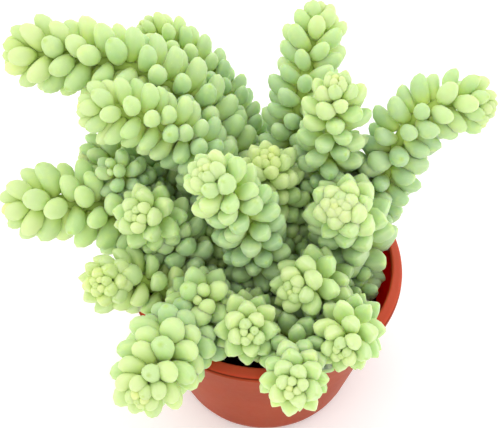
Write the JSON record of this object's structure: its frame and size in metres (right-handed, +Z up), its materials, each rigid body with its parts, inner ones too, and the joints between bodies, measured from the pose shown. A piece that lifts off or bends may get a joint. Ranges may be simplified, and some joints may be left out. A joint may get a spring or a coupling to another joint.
{
  "type": "potted burro's tail succulent",
  "caption": "Trailing succulent with plump bean-shaped leaves packed spirally along thick stems, growing in a round tapered plastic nursery pot of soil.",
  "frame": {"origin": "centre of the pot's underside, on the surface it stands on", "axes": "+Z up; -Y towards the viewer of the picture, so the longest stems reach to -X and +Y"},
  "size_m": [0.2152, 0.1836, 0.1591],
  "materials": {
    "terracotta_plastic": "thin injection-moulded plastic in terracotta red, satin",
    "potting_soil": "dark crumbly peat soil; wood stands in for its low density",
    "succulent_leaf": "fleshy leaf with a matte waxy bloom; rubber stands in for soft plant tissue"
  },
  "bodies": {
    "root": {"pot": "terracotta_plastic", "soil": "potting_soil", "stem_long_left": "succulent_leaf", "stem_back_left": "succulent_leaf", "stem_upper_left": "succulent_leaf", "stem_far_left": "succulent_leaf", "stem_left_facing": "succulent_leaf", "stem_middle": "succulent_leaf", "stem_middle_back": "succulent_leaf", "stem_back_top": "succulent_leaf", "stem_back_right": "succulent_leaf", "stem_far_right": "succulent_leaf", "stem_right_facing": "succulent_leaf", "stem_front_middle": "succulent_leaf", "stem_front_right": "succulent_leaf", "stem_front_over_lip": "succulent_leaf", "stem_front_upright": "succulent_leaf", "stem_drooping_left": "succulent_leaf", "stem_near_left": "succulent_leaf", "stem_behind_left": "succulent_leaf", "shoot_right": "succulent_leaf", "shoot_front_left": "succulent_leaf", "shoot_middle": "succulent_leaf", "shoot_inner_left": "succulent_leaf", "shoot_left": "succulent_leaf"}
  },
  "joints": []
}
